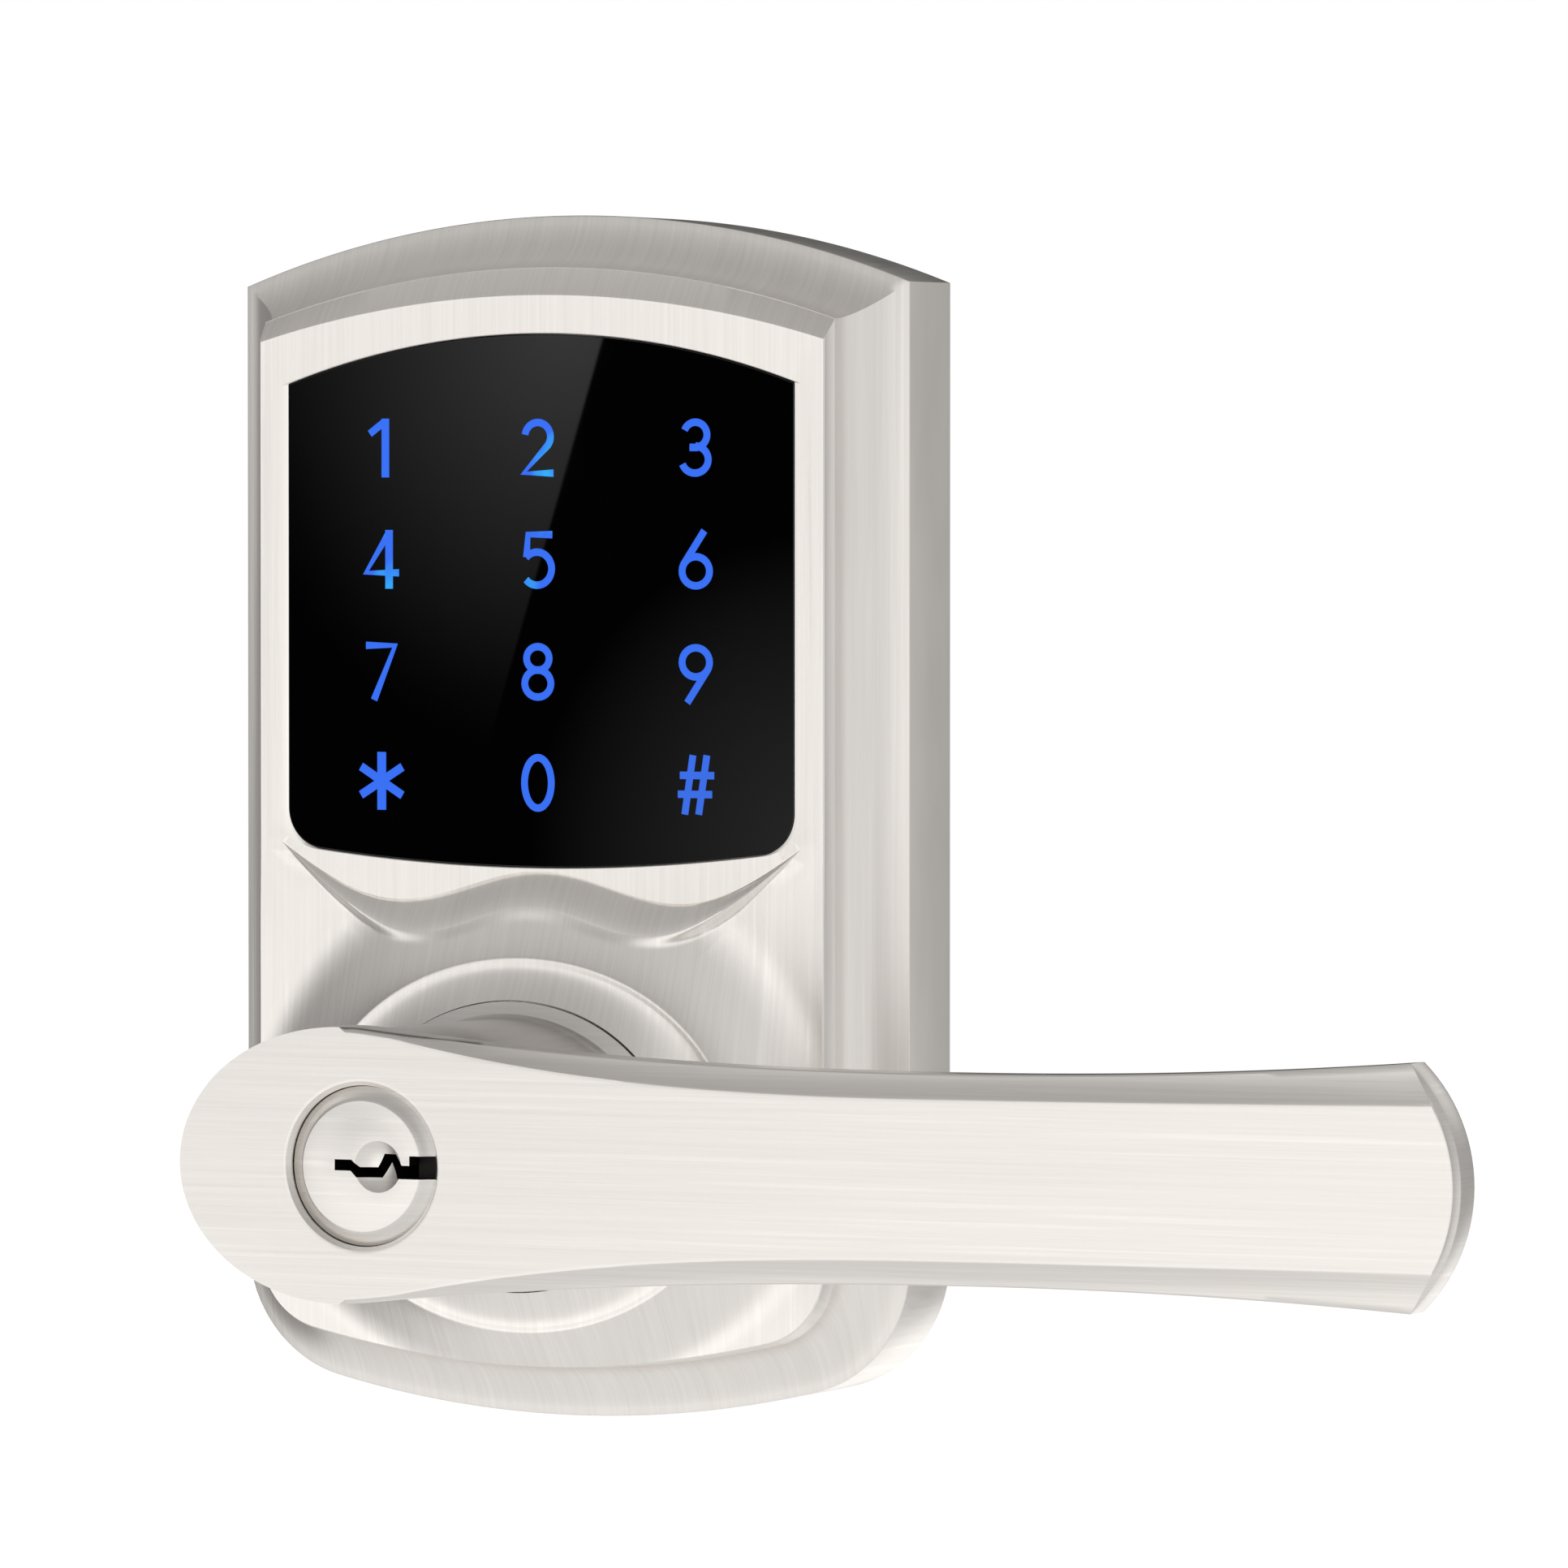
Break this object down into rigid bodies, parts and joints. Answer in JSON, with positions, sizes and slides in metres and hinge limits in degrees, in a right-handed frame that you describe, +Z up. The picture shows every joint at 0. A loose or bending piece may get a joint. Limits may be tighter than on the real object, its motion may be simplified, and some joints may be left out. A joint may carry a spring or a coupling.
{
  "type": "keypad smart lock outside unit",
  "caption": "Arched satin nickel escutcheon with a lit touch keypad, over a sprung door lever that holds a key cylinder.",
  "frame": {"origin": "where the spindle's axis meets the door's face, the centre of the door's cross bore", "axes": "+X to the viewer's right, the way the lever points; +Y into the door along the spindle; +Z up"},
  "size_m": [0.1677, 0.109, 0.135],
  "materials": {
    "satin_nickel": "satin nickel plate over cast zinc, brushed upright",
    "satin_nickel_lever": "satin nickel plate over cast zinc, brushed along the lever",
    "satin_nickel_plug": "satin nickel plate over brass, brushed across",
    "black_glass": "polished black touch glass, lit blue digits from behind",
    "black_rubber": "matte black rubber",
    "frosted_plastic": "frosted light guide",
    "circuit_board": "green solder mask on glass fibre",
    "black_plastic": "moulded black plastic",
    "white_plastic": "moulded natural acetal",
    "zinc_steel": "bright zinc plated steel",
    "plate_steel": "plain zinc plated steel, slightly dull",
    "bearing_brass": "machined brass",
    "spring_steel": "drawn spring wire",
    "motor_can": "drawn steel motor can"
  },
  "bodies": {
    "escutcheon": {"escutcheon_housing": "satin_nickel", "touch_glass": "black_glass", "glass_seal": "black_rubber", "light_guide": "frosted_plastic", "sensor_board": "circuit_board", "board_carrier": "black_plastic", "control_board": "circuit_board", "buzzer": "black_plastic", "harness_socket": "white_plastic", "board_screw_1": "zinc_steel", "board_screw_2": "zinc_steel", "board_screw_3": "zinc_steel", "board_screw_4": "zinc_steel", "back_plate": "plate_steel", "door_gasket": "black_rubber", "plate_screw_1": "zinc_steel", "plate_screw_2": "zinc_steel", "plate_screw_3": "zinc_steel", "plate_screw_4": "zinc_steel", "mount_post_left": "zinc_steel", "mount_post_right": "zinc_steel", "cable_grommet": "black_rubber", "rose_bush": "bearing_brass", "thrust_washer": "white_plastic", "stop_pin_rest": "zinc_steel", "stop_pin_end": "zinc_steel", "return_spring": "spring_steel", "clutch_motor": "motor_can", "motor_bracket": "plate_steel", "fork_guide_pin": "zinc_steel"},
    "lever": {"lever_handle": "satin_nickel_lever", "set_screw": "zinc_steel", "lever_shank": "plate_steel", "cylinder_shell": "bearing_brass", "driver_pin_1": "bearing_brass", "driver_pin_2": "bearing_brass", "driver_pin_3": "bearing_brass", "driver_pin_4": "bearing_brass", "driver_pin_5": "bearing_brass", "pin_spring_1": "spring_steel", "pin_spring_2": "spring_steel", "pin_spring_3": "spring_steel", "pin_spring_4": "spring_steel", "pin_spring_5": "spring_steel"},
    "plug": {"cylinder_plug": "satin_nickel_plug", "key_pin_1": "bearing_brass", "key_pin_2": "bearing_brass", "key_pin_3": "bearing_brass", "key_pin_4": "bearing_brass", "key_pin_5": "bearing_brass", "plug_clip": "spring_steel", "tailpiece": "plate_steel"},
    "sleeve": {"clutch_sleeve": "plate_steel"},
    "fork": {"clutch_fork": "white_plastic"},
    "motor_rotor": {"motor_screw": "bearing_brass"},
    "drive": {"drive_hub": "plate_steel", "spindle": "plate_steel"}
  },
  "joints": [
    {"name": "lever_turn", "type": "hinge", "parent": "escutcheon", "child": "lever", "pos_m": [0, 0, 0], "axis": [0, 1, 0], "range_deg": [0, 50], "stiffness_Nm_per_rad": 0.9, "springref_deg": -28.65, "deforming": ["return_spring"]},
    {"name": "plug_turn", "type": "hinge", "parent": "lever", "child": "plug", "pos_m": [0, 0, 0], "axis": [0, 1, 0], "range_deg": [0, 90]},
    {"name": "fork_shift", "type": "slide", "parent": "escutcheon", "child": "fork", "axis": [0, -1, 0], "range_m": [0, 0.0028]},
    {"name": "sleeve_shift", "type": "slide", "parent": "lever", "child": "sleeve", "axis": [0, -1, 0], "range_m": [0, 0.0028]},
    {"name": "screw_spin", "type": "hinge", "parent": "escutcheon", "child": "motor_rotor", "pos_m": [0, 0, 0.027], "axis": [0, 1, 0], "range_deg": [0, 253]},
    {"name": "spindle_turn", "type": "hinge", "parent": "escutcheon", "child": "drive", "pos_m": [0, 0, 0], "axis": [0, 1, 0], "range_deg": [0, 50]}
  ],
  "couplings": [
    {"joint": "spindle_turn", "follows": "lever_turn", "ratio": 1},
    {"joint": "sleeve_shift", "follows": "fork_shift", "ratio": 1},
    {"joint": "screw_spin", "follows": "fork_shift", "rad_per_m": 1570.8}
  ]
}
